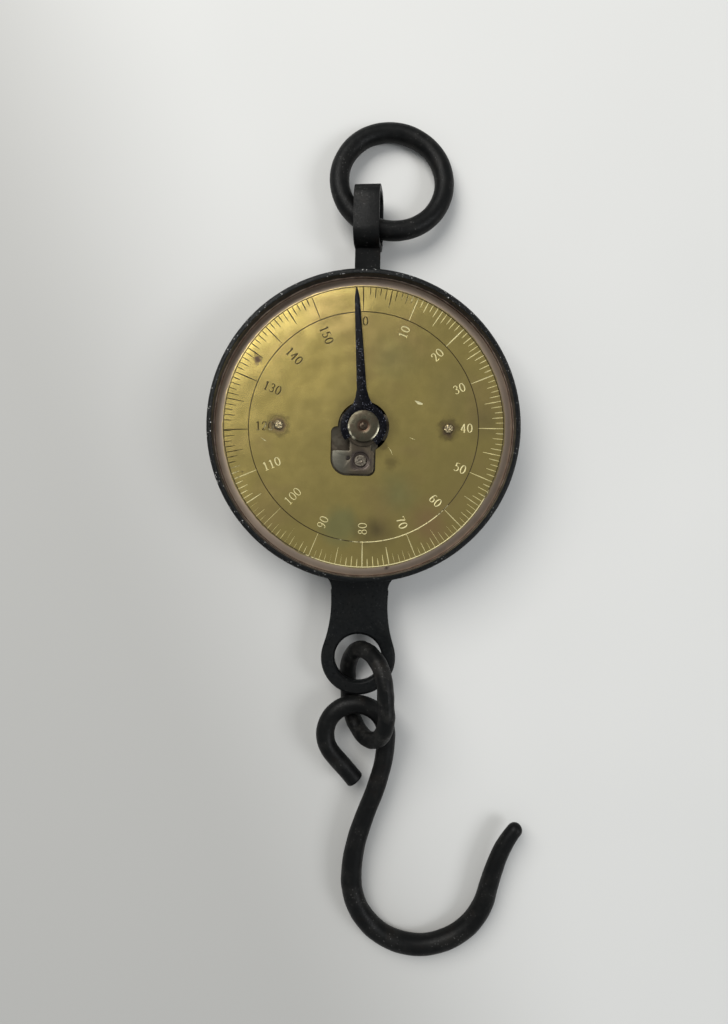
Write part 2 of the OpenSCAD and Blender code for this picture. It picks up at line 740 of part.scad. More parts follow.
// The needle, and its boss: an open ring that springs onto the hub
module pointer_hand() {
    color([0.08, 0.08, 0.10])
        translate([0, 0, pointer_z]) rotate([0, 0, pointer_rest]) difference() {
            union() {
                cylinder(r = pointer_boss_r, h = pointer_t);
                linear_extrude(pointer_t) needle();
            }
            translate([0, 0, -past]) cylinder(r = hub_r + seated, h = pointer_t + 2 * past);
            translate([0, 0, -past]) linear_extrude(pointer_t + 2 * past)
                polygon(concat([[0, 0]],
                               [for (i = [0:4]) let (a = boss_gap[0] + (boss_gap[1] - boss_gap[0]) * i / 4)
                                   2 * pointer_boss_r * [sin(a), -cos(a)]]));
        }
}

// ---------- ring, link and hook ----------

module suspension_ring() {
    color([0.10, 0.10, 0.10])
        translate([0, ring_y, mid_z]) rotate([0, 0, -ring_yaw]) rotate([-ring_drop, 0, 0])
            translate([0, ring_r, 0]) rotate_extrude() translate([ring_r, 0]) circle(d = ring_wire);
}

module link() {
    color([0.13, 0.13, 0.12])
        translate(link_at) rotate([0, 0, link_turn]) rotate([link_pitch, 0, 0]) rotate([0, -link_lean, 0]) {
            for (end = [0, 1]) rotate([0, 0, 180 * end]) translate([0, link_straight / 2, 0])
                rotate_extrude(angle = 180) translate([link_r, 0]) circle(d = link_wire);
            for (side = [-1, 1]) translate([side * link_r, link_straight / 2, 0]) rotate([90, 0, 0])
                cylinder(d = link_wire, h = link_straight);
        }
}

// The hook's line in its own plane, from the cut end round the eye, down the shank and round the bowl
module hook() {
    bowl = [hook_bowl_r, -hook_shank];
    eye = arc([0, 0], hook_eye_r, hook_curl, 0, 28);
    tail_dir = unit(eye[0] - eye[1]);
    tail = [for (i = [0:4]) eye[0] + tail_dir * hook_tail * (1 - i / 5)];
    drop = hook_shank * shank_pull;
    shank = bezier([hook_eye_r, 0], [hook_eye_r, -drop], [0, drop - hook_shank], [0, -hook_shank], 18);
    round_part = arc(bowl, hook_bowl_r, 180, bowl_end, 26);
    turn = round_part[26];
    turn_dir = [-sin(bowl_end), cos(bowl_end)];
    tip = bezier(turn, turn + tip_pull[0] * turn_dir, hook_tip - tip_pull[1] * tip_dir, hook_tip, 12);
    nose = [for (a = [30, 60, 82]) hook_tip + hook_tip_wire / 2 * sin(a) * tip_dir];
    line = concat(tail, eye, shank, [for (i = [1:26]) round_part[i]], tip, nose);
    radii = concat(
        [for (p = tail) hook_wire / 2 - tail_taper], [for (p = eye) hook_wire / 2],
        [for (i = [1:18]) hook_wire / 2 + (hook_bowl_wire - hook_wire) / 2 * pow(i / 18, 3)],
        [for (i = [1:26]) hook_bowl_wire / 2 - bowl_taper * pow(i / 26, 4)],
        [for (i = [1:12]) let (t = i / 12)
            (hook_bowl_wire / 2 - bowl_taper) * (1 - t) + hook_tip_wire / 2 * t],
        [for (a = [30, 60, 82]) hook_tip_wire / 2 * cos(a)]);
    color([0.12, 0.12, 0.11])
        translate(hook_at) rotate([hook_tilt, 0, 0]) rotate([0, 0, hook_turn])
            bar_along(solid(line), radii, [0, 0, 1], 16);
}

case();
dial_plate();
dial_screws();
dial_pillars();
bridge();
cock();
cock_screw();
cock_pin();
rear_bush();
anchor_bar();
anchor_screws();
spring_left();
spring_right();
strap();
crosshead();
crosshead_rivets();
rack();
rack_pin();
rack_spring();
stop_pin();
arbor();
pinion();
pointer_hub();
pointer_hand();
suspension_ring();
link();
hook();
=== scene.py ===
import math
import random

import bmesh
import bpy
from mathutils import Matrix, Vector, noise


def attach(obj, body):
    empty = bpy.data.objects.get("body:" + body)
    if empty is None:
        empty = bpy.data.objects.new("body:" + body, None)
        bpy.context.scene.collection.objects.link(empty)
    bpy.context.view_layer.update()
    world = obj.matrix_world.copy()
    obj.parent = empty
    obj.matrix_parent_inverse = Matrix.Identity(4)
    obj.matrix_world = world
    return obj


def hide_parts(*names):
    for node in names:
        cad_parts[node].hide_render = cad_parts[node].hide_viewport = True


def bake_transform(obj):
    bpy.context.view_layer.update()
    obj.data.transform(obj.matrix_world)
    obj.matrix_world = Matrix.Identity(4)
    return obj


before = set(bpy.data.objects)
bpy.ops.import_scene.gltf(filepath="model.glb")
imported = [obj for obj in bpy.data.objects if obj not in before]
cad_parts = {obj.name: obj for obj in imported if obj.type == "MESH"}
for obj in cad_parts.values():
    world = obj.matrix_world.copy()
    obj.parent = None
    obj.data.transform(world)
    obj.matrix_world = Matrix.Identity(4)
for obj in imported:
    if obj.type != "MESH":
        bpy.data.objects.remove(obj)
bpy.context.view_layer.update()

# ---------- The round case ----------
# A deep round dish of iron with its hanging lug in one piece, dipped in black japan. The coat has
# pitted along the rim, with the pits painted pale grey as glints, and low inside the rim the wall is rubbed
# down to dull metal.
mm = 0.001
weld_gap = 0.002 * mm       # corners this close are one corner
bore_r = 80.2 * mm
rim_z = 36.5 * mm
dial_z = 28.2 * mm
floor_z = 5 * mm            # just above the dish's inside floor


def select_only(piece):
    """Makes a piece the one that the next tool works on."""
    bpy.ops.object.select_all(action="DESELECT")
    piece.select_set(True)
    bpy.context.view_layer.objects.active = piece


def merged_copy(node, name):
    """The shape of a CAD node in a mesh of its own, with its loose triangles joined into whole faces."""
    piece = bpy.data.objects.new(name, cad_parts[node].data.copy())
    bpy.context.scene.collection.objects.link(piece)
    piece.data.materials.clear()
    select_only(piece)
    bpy.ops.mesh.customdata_custom_splitnormals_clear()
    bpy.ops.object.mode_set(mode="EDIT")
    bpy.ops.mesh.select_all(action="SELECT")
    bpy.ops.mesh.remove_doubles(threshold=weld_gap)
    bpy.ops.mesh.dissolve_limited(angle_limit=math.radians(0.4))
    bpy.ops.object.mode_set(mode="OBJECT")
    return piece


def apply_modifier(piece, kind, **settings):
    """Works a modifier into the mesh at once."""
    select_only(piece)
    modifier = piece.modifiers.new(kind.title(), kind)
    for key, value in settings.items():
        setattr(modifier, key, value)
    bpy.ops.object.modifier_apply(modifier=modifier.name)


def ease_edges(piece, width, segments=2):
    """Rounds every sharp edge, as filing and a thick coat of paint do."""
    apply_modifier(piece, "BEVEL", width=width * mm, segments=segments, limit_method="ANGLE",
                   angle_limit=math.radians(28), miter_outer="MITER_ARC", use_clamp_overlap=True)


def smooth(piece, angle=35):
    """Shades a piece smooth, apart from edges that turn by more than angle degrees."""
    select_only(piece)
    bpy.ops.object.shade_smooth_by_angle(angle=math.radians(angle))


def new_finish(name, roughness, metallic=0.0, gloss=0.5):
    """A material, its node tree, its shader and the surface's own place in the object."""
    material = bpy.data.materials.new(name)
    material.use_nodes = True
    tree = material.node_tree
    shader = tree.nodes["Principled BSDF"]
    shader.inputs["Roughness"].default_value = roughness
    shader.inputs["Metallic"].default_value = metallic
    shader.inputs["Specular IOR Level"].default_value = gloss
    return material, tree, shader, tree.nodes.new("ShaderNodeTexCoord").outputs["Object"]


def feed(tree, socket, value):
    """Joins another node's output to a socket, or writes a plain value into it."""
    if isinstance(value, bpy.types.NodeSocket):
        tree.links.new(value, socket)
    else:
        socket.default_value = value


def clouds(tree, place, size, detail, rough=0.55, distortion=0.0, stretch=(1, 1, 1)):
    """Noise whose blotches are about size millimetres across."""
    mapping = tree.nodes.new("ShaderNodeMapping")
    mapping.inputs["Scale"].default_value = stretch
    tree.links.new(place, mapping.inputs["Vector"])
    node = tree.nodes.new("ShaderNodeTexNoise")
    tree.links.new(mapping.outputs["Vector"], node.inputs["Vector"])
    node.inputs["Scale"].default_value = 1 / (size * mm)
    node.inputs["Detail"].default_value = detail
    node.inputs["Roughness"].default_value = rough
    node.inputs["Distortion"].default_value = distortion
    return node.outputs["Fac"]


def cells(tree, place, size):
    """Distance to scattered points that lie about size millimetres apart."""
    node = tree.nodes.new("ShaderNodeTexVoronoi")
    tree.links.new(place, node.inputs["Vector"])
    node.inputs["Scale"].default_value = 1 / (size * mm)
    return node.outputs["Distance"]


def graded(tree, value, low, high, to_low=0.0, to_high=1.0):
    """Rises smoothly from to_low to to_high as value goes from low to high."""
    node = tree.nodes.new("ShaderNodeMapRange")
    node.interpolation_type = "SMOOTHSTEP"
    given = {"Value": value, "From Min": low, "From Max": high, "To Min": to_low, "To Max": to_high}
    for name, setting in given.items():
        feed(tree, node.inputs[name], setting)
    return node.outputs["Result"]


def sums(tree, operation, a, b):
    """One step of arithmetic on two values."""
    node = tree.nodes.new("ShaderNodeMath")
    node.operation = operation
    feed(tree, node.inputs[0], a)
    feed(tree, node.inputs[1], b)
    return node.outputs["Value"]


def blended(tree, share, below, above):
    """The colour below, covered by the colour above where share is 1."""
    node = tree.nodes.new("ShaderNodeMix")
    node.data_type = "RGBA"
    feed(tree, node.inputs["Factor"], share)
    for name, colour in (("A", below), ("B", above)):
        socket = [each for each in node.inputs if each.name == name and each.type == "RGBA"][0]
        feed(tree, socket, colour if isinstance(colour, bpy.types.NodeSocket) else (*colour, 1))
    return [each for each in node.outputs if each.type == "RGBA"][0]


def relief(tree, height, depth, under=None):
    """A bump of depth millimetres between height 0 and 1."""
    node = tree.nodes.new("ShaderNodeBump")
    node.inputs["Distance"].default_value = depth * mm
    tree.links.new(height, node.inputs["Height"])
    if under is not None:
        tree.links.new(under, node.inputs["Normal"])
    return node.outputs["Normal"]


def sunk(tree, pits, under):
    """Pits sunk into the relief that lies under them."""
    return relief(tree, graded(tree, pits, 0, 1, 1, 0), 0.12, under)


def axis_value(tree, place, axis):
    """How far along X, Y or Z the surface is, in metres."""
    node = tree.nodes.new("ShaderNodeSeparateXYZ")
    tree.links.new(place, node.inputs["Vector"])
    return node.outputs[axis]


def from_middle(tree, place, centre=(0, 0)):
    """Distance in metres from an upright line through centre (millimetres)."""
    mapping = tree.nodes.new("ShaderNodeMapping")
    mapping.vector_type = "POINT"
    mapping.inputs["Location"].default_value = (-centre[0] * mm, -centre[1] * mm, 0)
    mapping.inputs["Scale"].default_value = (1, 1, 0)
    tree.links.new(place, mapping.inputs["Vector"])
    node = tree.nodes.new("ShaderNodeVectorMath")
    node.operation = "LENGTH"
    tree.links.new(mapping.outputs["Vector"], node.inputs[0])
    return node.outputs["Value"]


def ragged(tree, distance, noisy, by):
    """A distance that wanders by up to so many millimetres either way, so that its edges look torn."""
    return sums(tree, "ADD", distance, graded(tree, noisy, 0.3, 0.7, -by * mm, by * mm))


def join(tree, shader, colour, rough, normal):
    """Joins a finish's colour, roughness and relief to its shader."""
    tree.links.new(colour, shader.inputs["Base Color"])
    tree.links.new(rough, shader.inputs["Roughness"])
    tree.links.new(normal, shader.inputs["Normal"])


def black_japan(name):
    """Old black stoving enamel: lumpy, half glossy and pitted; the pits are coloured pale grey as painted
    glints, most of all towards the upper left.
    """
    material, tree, shader, place = new_finish(name, 0.4, 0.0, 0.15)
    lumps = clouds(tree, place, 1.6, 4)
    pit = graded(tree, cells(tree, place, 1.25), 0.30, 0.16)
    pit = sums(tree, "MULTIPLY", pit, graded(tree, clouds(tree, place, 3.2, 2), 0.50, 0.62))
    aside = sums(tree, "SUBTRACT", axis_value(tree, place, "X"), axis_value(tree, place, "Y"))
    pits_and_glint_side = graded(tree, aside, 60 * mm, -60 * mm, 0.25, 1.0)
    on_rim = sums(tree, "MULTIPLY", graded(tree, axis_value(tree, place, "Z"), 24 * mm, 35 * mm, 0.35, 1),
                  graded(tree, from_middle(tree, place), 90 * mm, 83 * mm, 0.3, 1))
    pit = sums(tree, "MULTIPLY", pit, sums(tree, "MULTIPLY", pits_and_glint_side, on_rim))
    colour = blended(tree, graded(tree, clouds(tree, place, 14, 3), 0.45, 0.75, 0, 0.3),
                     (0.0036, 0.0042, 0.0044), (0.0085, 0.0076, 0.0066))
    # Painted glints: the pits take a pale grey colour, more of them towards the upper left.
    colour = blended(tree, pit, colour, (0.55, 0.54, 0.52))
    rough = sums(tree, "MAXIMUM", graded(tree, lumps, 0.3, 0.7, 0.26, 0.5),
                 graded(tree, pit, 0, 1, 0.26, 0.6))
    normal = relief(tree, lumps, 0.16)
    normal = relief(tree, clouds(tree, place, 0.45, 3), 0.05, normal)
    join(tree, shader, colour, rough, sunk(tree, pit, normal))
    return material


def rubbed_wall(name):
    """The wall inside the rim: japan down to the dial, and bare pinkish grey metal just above it."""
    material, tree, shader, place = new_finish(name, 0.36, 0.75, 0.3)
    spots = clouds(tree, place, 5, 5)
    colour = blended(tree, graded(tree, spots, 0.38, 0.62), (0.62, 0.53, 0.46), (0.42, 0.31, 0.25))
    colour = blended(tree, graded(tree, clouds(tree, place, 1.4, 4), 0.6, 0.68), colour, (0.05, 0.04, 0.035))
    height = ragged(tree, axis_value(tree, place, "Z"), spots, 0.4)
    coat = graded(tree, height, rim_z - 7.4 * mm, rim_z - 6.6 * mm)
    tree.links.new(graded(tree, coat, 0, 1, 0.75, 0), shader.inputs["Metallic"])
    join(tree, shader, blended(tree, coat, colour, (0.004, 0.004, 0.004)),
         graded(tree, spots, 0.3, 0.7, 0.28, 0.5), relief(tree, clouds(tree, place, 1.5, 4), 0.08))
    return material


case = merged_copy("case", "case_shell")
ease_edges(case, 0.45, 3)
smooth(case, 40)
case.data.materials.append(black_japan("japan_pitted"))
case.data.materials.append(rubbed_wall("rubbed_mouth"))
for face in case.data.polygons:
    out = Vector((face.center.x, face.center.y))
    inward = face.normal.xy.dot(out.normalized()) < -0.9
    on_bore = abs(out.length - bore_r) < 0.4 * mm and face.center.z > floor_z
    face.material_index = 1 if inward and on_bore else 0
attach(case, "case")
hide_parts("case")

# ---------- The dial ----------
# A disc of rolled brass with its edge turned down all round. Two rings are scribed on it in the
# lathe; the strokes and the numbers are cut by hand with a pointed graver, and many have worn away.
dial_r = 79.9
outer_ring = 75.2
inner_ring = 61.8
groove_half = 0.24
groove_deep = 0.2
top = dial_z / mm
low = 27.0
dial_turn = math.radians(0.7)
pound = math.radians(2.25)
screw_x = 45.7


def turned(name, profile, sides, at=(0, 0), bored=False):
    """A round piece raised ring by ring along its profile of (radius, height), as on a lathe. A bored
    piece's profile starts and ends at the bore."""
    bpy.ops.object.select_all(action="DESELECT")
    radius, height = profile[0]
    bpy.ops.mesh.primitive_circle_add(vertices=sides, radius=radius * mm, location=(0, 0, height * mm))
    piece = bpy.context.object
    piece.name = piece.data.name = name
    bpy.ops.object.transform_apply(location=True)
    bpy.ops.object.mode_set(mode="EDIT")
    bpy.ops.mesh.select_all(action="SELECT")
    for (r0, z0), (r1, z1) in zip(profile, profile[1:]):
        bpy.ops.mesh.extrude_region_move(TRANSFORM_OT_translate={"value": (0, 0, (z1 - z0) * mm)})
        bpy.ops.transform.resize(value=(r1 / r0, r1 / r0, 1), center_override=(0, 0, z1 * mm))
    bpy.ops.mesh.select_all(action="DESELECT")
    bpy.ops.mesh.select_non_manifold(extend=False)
    if bored:
        bpy.ops.mesh.bridge_edge_loops()
    else:
        bpy.ops.mesh.fill_holes(sides=0)
    bpy.ops.mesh.select_all(action="SELECT")
    bpy.ops.mesh.normals_make_consistent(inside=False)
    bpy.ops.object.mode_set(mode="OBJECT")
    piece.data.transform(Matrix.Translation((at[0] * mm, at[1] * mm, 0)))
    return piece


def graver_cut(points, halves, depth):
    """Closed V-shaped cutter along a stroke: points in mm, with half its width at each of them."""
    verts = []
    count = len(points)
    widest = max(halves)
    above = top + 0.06
    for i, (point, half) in enumerate(zip(points, halves)):
        ahead = Vector(points[min(i + 1, count - 1)]) - Vector(points[max(i - 1, 0)])
        side = Vector((-ahead.y, ahead.x)).normalized() * half
        middle = Vector(point)
        bottom = top - depth * half / widest
        verts += [(*(middle + side), above), (*(middle - side), above), (*middle, bottom)]
    faces = [(0, 1, 2), (3 * count - 1, 3 * count - 2, 3 * count - 3)]
    for i in range(0, 3 * (count - 1), 3):
        faces += [(i + a, i + a + 3, i + b + 3, i + b) for a, b in ((0, 1), (1, 2), (2, 0))]
    return verts, faces


def mesh_of(name, parts):
    """One mesh of several closed parts, each (points in mm, faces)."""
    verts = []
    faces = []
    for part_verts, part_faces in parts:
        base = len(verts)
        verts += [Vector(vert) * mm for vert in part_verts]
        faces += [[base + i for i in face] for face in part_faces]
    mesh = bpy.data.meshes.new(name)
    mesh.from_pydata(verts, [], faces)
    piece = bpy.data.objects.new(name, mesh)
    bpy.context.scene.collection.objects.link(piece)
    select_only(piece)
    bpy.ops.object.mode_set(mode="EDIT")
    bpy.ops.mesh.select_all(action="SELECT")
    bpy.ops.mesh.normals_make_consistent(inside=False)
    bpy.ops.object.mode_set(mode="OBJECT")
    return piece


def cut_away(piece, tool, crossing=False):
    """Cuts a solid out of a piece. The cut takes the tool's material; crossing allows tools that overlap."""
    apply_modifier(piece, "BOOLEAN", operation="DIFFERENCE", solver="EXACT", object=tool,
                   use_self=crossing, material_mode="TRANSFER")
    bpy.data.objects.remove(tool)


def oval(x, y, rx, ry, start=0.0):
    """A closed round stroke about (x, y) with the half sizes rx and ry."""
    angles = [start + 2 * math.pi * i / 20 for i in range(21)]
    return [(x + rx * math.sin(angle), y + ry * math.cos(angle)) for angle in angles]


# Engraver's figures: strokes in a box one unit high, thick where they run up and down
figures = {
    "0": [oval(0.30, 0.5, 0.24, 0.46, 0.03)],
    "1": [[(0.12, 0.80), (0.29, 0.95)], [(0.29, 0.95), (0.29, 0.04)], [(0.12, 0.03), (0.47, 0.03)]],
    "2": [[(0.07, 0.70), (0.12, 0.88), (0.27, 0.96), (0.42, 0.90), (0.48, 0.74), (0.42, 0.54), (0.24, 0.28),
           (0.07, 0.06)],
          [(0.06, 0.05), (0.30, 0.03), (0.52, 0.07)]],
    "3": [[(0.08, 0.82), (0.20, 0.95), (0.36, 0.93), (0.46, 0.77), (0.38, 0.58), (0.22, 0.52)],
          [(0.26, 0.52), (0.42, 0.45), (0.50, 0.27), (0.40, 0.08), (0.22, 0.03), (0.06, 0.17)]],
    "4": [[(0.38, 0.96), (0.38, 0.03)], [(0.37, 0.95), (0.20, 0.62), (0.03, 0.29)],
          [(0.03, 0.28), (0.55, 0.28)], [(0.28, 0.03), (0.49, 0.03)]],
    "5": [[(0.46, 0.94), (0.13, 0.93)], [(0.14, 0.93), (0.11, 0.54)],
          [(0.11, 0.55), (0.27, 0.62), (0.43, 0.52), (0.49, 0.32), (0.41, 0.11), (0.22, 0.03), (0.06, 0.13)]],
    "6": [[(0.47, 0.86), (0.35, 0.95), (0.20, 0.86), (0.10, 0.60), (0.08, 0.34)],
          oval(0.29, 0.29, 0.21, 0.26)],
    "7": [[(0.06, 0.80), (0.09, 0.93)], [(0.07, 0.93), (0.52, 0.93)],
          [(0.51, 0.93), (0.35, 0.55), (0.25, 0.03)]],
    "8": [oval(0.29, 0.75, 0.17, 0.20), oval(0.29, 0.28, 0.22, 0.25)],
    "9": [[(0.11, 0.13), (0.23, 0.04), (0.38, 0.13), (0.48, 0.39), (0.50, 0.65)],
          oval(0.29, 0.70, 0.21, 0.26)],
}
figure_h = 4.9
figure_step = 3.35
figure_gap = 0.55
figure_deep = 0.28
thick_half = 0.40
thin_half = 0.21


def dial_angle(number):
    """Where a number of pounds stands on the dial, as an angle from X."""
    return -(number * pound) + math.pi / 2 + dial_turn


def figure_cuts(number, radius, inward, wear):
    """The strokes of one number, set along the dial's radius and read outwards or inwards."""
    text = str(number)
    angle = dial_angle(number)
    along = Vector((math.cos(angle), math.sin(angle)))
    right, up = (-along, Vector((along.y, -along.x))) if inward else (along, Vector((-along.y, along.x)))
    if number == 0:     # the nought alone stands upright
        right, up = Vector((along.y, -along.x)), along
    middle = along * radius
    cuts = []
    for i, sign in enumerate(text):
        left = (i - len(text) / 2) * figure_step + figure_gap
        for stroke in figures[sign]:
            points = [middle + right * (left + x * figure_h) + up * ((y - 0.5) * figure_h)
                      for x, y in stroke]
            halves = []
            for j in range(len(points)):
                run = points[min(j + 1, len(points) - 1)] - points[max(j - 1, 0)]
                upright = abs(run.normalized().dot(up))
                halves.append((thin_half + (thick_half - thin_half) * upright ** 1.5) * wear)
            cuts.append(graver_cut(points, halves, figure_deep * wear))
    return cuts


# Patches of colour: x, y and reach in millimetres, then strength and colour. The pink one low on the right is
# a painted reflection; the others are tarnish.
tarnish_and_reflection = [
    (19, -36, 17, 0.6, (0.32, 0.31, 0.13)),
    (-12, -52, 13, 0.6, (0.28, 0.29, 0.13)),
    # painted reflection: pink, low on the right
    (36, -50, 17, 0.7, (0.40, 0.25, 0.12)),
    (9, -55, 14, 0.8, (0.17, 0.13, 0.065)),
    (14, 38, 20, 0.4, (0.38, 0.35, 0.14)),
    (52, 20, 22, 0.4, (0.34, 0.27, 0.11)),
    (64, 6, 16, 0.5, (0.23, 0.18, 0.09)),
]
# Dark spots: x, y, where it is full and where it ends in millimetres, then strength. The first two
# lie round the screws and are painted shade, as in a dished countersink; the rest are stains.
stains_and_screw_shade = [
    (-screw_x, 0, 2.4, 7.6, 0.9),
    (screw_x, 0, 2.4, 7.6, 0.9),
    (-57.9, 34.7, 1.4, 3.2, 0.95),
    (-64.2, -25.6, 0.4, 1.4, 0.8),
    (14.0, -75.4, 0.4, 1.3, 0.8),
    (15.3, -18.4, 0.5, 5.5, 0.3),
    (10.5, -10, 0.5, 3.5, 0.5),
]


def aged_brass(name):
    """Old rolled brass: olive gold, clouded with tarnished patches that run to green, with a painted pink
    reflection low on the right, a painted reflection on the turned-down edge, painted shade round the hub and
    round the two screws, and a few dark stained spots."""
    material, tree, shader, place = new_finish(name, 0.3, 1.0)
    cloud = clouds(tree, place, 60, 4, 0.5)
    warm = clouds(tree, place, 34, 3, 0.5, 0.4)
    mottle = clouds(tree, place, 5, 6, 0.62)
    colour = blended(tree, graded(tree, cloud, 0.36, 0.66), (0.475, 0.370, 0.122), (0.415, 0.325, 0.112))
    colour = blended(tree, graded(tree, warm, 0.50, 0.72, 0, 0.45), colour, (0.43, 0.31, 0.128))
    colour = blended(tree, graded(tree, mottle, 0.45, 0.72, 0, 0.07), colour, (0.30, 0.25, 0.10))
    for x, y, far, most, tint in tarnish_and_reflection:
        spread = ragged(tree, from_middle(tree, place, (x, y)), warm, 4)
        colour = blended(tree, graded(tree, spread, far * mm, 2 * mm, 0, most), colour, tint)
    away = from_middle(tree, place)
    # Painted reflection: from the outer ring outwards the turned-down edge is painted pinkish grey-brown, and
    # it is rougher.
    edge = ragged(tree, away, mottle, 0.25)
    edge_starts = outer_ring * mm
    edge_full = 76.3 * mm
    colour = blended(tree, graded(tree, edge, edge_starts, edge_full, 0, 0.9), colour, (0.27, 0.215, 0.185))
    # Painted shade round the hub and the cock: darker inside 20 mm of the middle.
    shade_and_stains = graded(tree, ragged(tree, away, warm, 3), 20 * mm, 12 * mm, 0, 0.35)
    for x, y, near, far, most in stains_and_screw_shade:
        spread = ragged(tree, from_middle(tree, place, (x, y)), mottle, 1.1)
        shade_and_stains = sums(tree, "MAXIMUM", shade_and_stains, graded(tree, spread, far * mm, near * mm, 0, most))
    colour = blended(tree, shade_and_stains, colour, (0.050, 0.033, 0.030))
    rough = graded(tree, mottle, 0.3, 0.75, 0.19, 0.23)
    rough = sums(tree, "MAXIMUM", rough, graded(tree, edge, edge_starts, edge_full, 0, 0.5))
    rough = sums(tree, "MAXIMUM", rough, graded(tree, shade_and_stains, 0, 1, 0.1, 0.38))
    normal = relief(tree, clouds(tree, place, 38, 2), 0.7)
    normal = relief(tree, clouds(tree, place, 0.9, 3), 0.008, normal)
    normal = relief(tree, clouds(tree, place, 1.2, 3, stretch=(1, 9, 1)), 0.005, normal)
    join(tree, shader, colour, rough, normal)
    return material


def cut_metal(name, right, up, dark, bright):
    """The inside of a graver's cut, with painted light and shade: dark brown on its shaded side of the dial
    and bright on its lit side. The brightness grows with right times X plus up times Y, from dark to bright
    (millimetres)."""
    material, tree, shader, place = new_finish(name, 0.42, 0.55)
    speckle = clouds(tree, place, 2.0, 4)
    across = sums(tree, "ADD", sums(tree, "MULTIPLY", axis_value(tree, place, "X"), right),
                  sums(tree, "MULTIPLY", axis_value(tree, place, "Y"), up))
    # Painted light and shade: the cut is dark on one side of the dial and bright on the other.
    wear_and_highlight = sums(tree, "ADD", graded(tree, across, dark * mm, bright * mm),
                  graded(tree, speckle, 0.3, 0.7, -0.2, 0.2))
    colour = blended(tree, graded(tree, wear_and_highlight, 0.3, 0.7), (0.060, 0.042, 0.020), (0.74, 0.68, 0.42))
    join(tree, shader, colour, graded(tree, speckle, 0.3, 0.7, 0.3, 0.55), relief(tree, speckle, 0.05))
    return material


def groove(radius):
    """The V that a pointed tool leaves in the lathe, as points of the dial's profile."""
    return [(radius - groove_half, top), (radius, top - groove_deep), (radius + groove_half, top)]


brass = aged_brass("brass_old")
# Both cut finishes are painted light and shade: each cut is dark on one side of the dial and bright on the
# other.
cut = cut_metal("graver_cut", 1, -1, -75, -15)
scribed = cut_metal("scribed_ring", 0.35, -1, 45, 75)
dial = turned("dial", [(4, top), (30, top), *groove(inner_ring), *groove(outer_ring), (76.6, top),
                       (77.8, top - 0.12), (dial_r - 0.3, top - 0.35), (dial_r, top - 0.6),
                       (dial_r, low), (4, low)], 256, bored=True)
dial.data.materials.append(brass)
dial.data.materials.append(cut)
dial.data.materials.append(scribed)
for face in dial.data.polygons:
    radius = face.center.xy.length / mm
    on_groove = min(abs(radius - inner_ring), abs(radius - outer_ring)) < groove_half - 0.01
    if on_groove and face.center.z > (top - 0.3) * mm:
        face.material_index = 2

chance = random.Random(11)
slips = {0: math.radians(0.7), 120: math.radians(1.8)}      # strokes that the engraver set a little early
stroke_lengths = ((10, 13.3), (5, 9.4), (2, 5.8), (1, 4.3))     # at every so many pounds
# A deep nick right of the hub and three scratches, then the scale
strokes = [graver_cut([(27.2, 14.7), (29.3, 13.5), (31.4, 13.0)], [0.2, 0.9, 0.5], 0.4),
           graver_cut([(24.5, -5), (26.5, -5.8), (28, -6.2)], [0.05, 0.22, 0.05], 0.1),
           graver_cut([(13.5, -10.5), (15, -12.5), (16, -15)], [0.05, 0.25, 0.05], 0.1),
           graver_cut([(-55, -7), (-53, -8.4), (-52, -8.8)], [0.1, 0.35, 0.1], 0.12)]
for number in range(151):
    angle = dial_angle(number) + chance.uniform(-0.0012, 0.0012) + slips.get(number, 0)
    length = next(long for every, long in stroke_lengths if number % every == 0)
    worn = 1.0
    if 55 <= number <= 74:      # two stretches of the scale have been polished nearly away
        worn = chance.uniform(0.35, 0.8)
    elif 84 <= number <= 104:
        worn = chance.uniform(0.2, 0.7)
    out = Vector((math.cos(angle), math.sin(angle)))
    start = out * (outer_ring - 0.05)
    end = out * (outer_ring - length * (1 + chance.uniform(-0.04, 0.04)))
    middle = (start + end) / 2
    half = chance.uniform(0.26, 0.34) * (1.15 if number % 5 == 0 else 1.0) * worn
    strokes.append(graver_cut([start, middle, end], [half * 0.75, half, half * 0.5], 0.26 * worn))
tool = mesh_of("strokes_tool", strokes)
tool.data.materials.append(cut)
cut_away(dial, tool)

figure_r = {0: 56.8, 50: 56, 90: 56}     # the engraver set these three a little further out
numbers = []
for number in range(0, 151, 10):
    radius = figure_r.get(number, 55 if number < 100 else 53.5)
    wear = 0.75 if number in (80, 90, 100) else 1.0
    numbers += figure_cuts(number, radius, number >= 80, wear)
tool = mesh_of("numbers_tool", numbers)
tool.data.materials.append(cut)
cut_away(dial, tool, crossing=True)

# The opening over the cock: a round for the boss and a rounded corner piece for the cock's foot
opening = merged_copy("dial_plate", "opening_tool")
opening_wall = {face.index for face in opening.data.polygons
                if abs(face.normal.z) < 0.5 and face.center.xy.length < 40 * mm}
outline = bmesh.new()
outline.from_mesh(opening.data)
bmesh.ops.delete(outline, geom=[face for face in outline.faces if face.index not in opening_wall],
                 context="FACES")
outline.to_mesh(opening.data)
outline.free()
for vert in opening.data.vertices:
    vert.co.z = (low - 0.5 if vert.co.z < (low + top) / 2 * mm else top + 0.6) * mm
select_only(opening)
bpy.ops.object.mode_set(mode="EDIT")
bpy.ops.mesh.select_all(action="DESELECT")
bpy.ops.mesh.select_non_manifold(extend=False)
bpy.ops.mesh.fill_holes(sides=0)
bpy.ops.mesh.select_all(action="SELECT")
bpy.ops.mesh.normals_make_consistent(inside=False)
bpy.ops.object.mode_set(mode="OBJECT")
opening.data.materials.append(brass)
cut_away(dial, opening)
smooth(dial, 20)
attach(dial, "case")
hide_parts("dial_plate")

# ---------- Dial screws ----------
# Two domed brass screws that hold the dial and the bridge down on their pillars. Their heads are
# turned, slotted with a saw and battered by years of the wrong screwdriver.


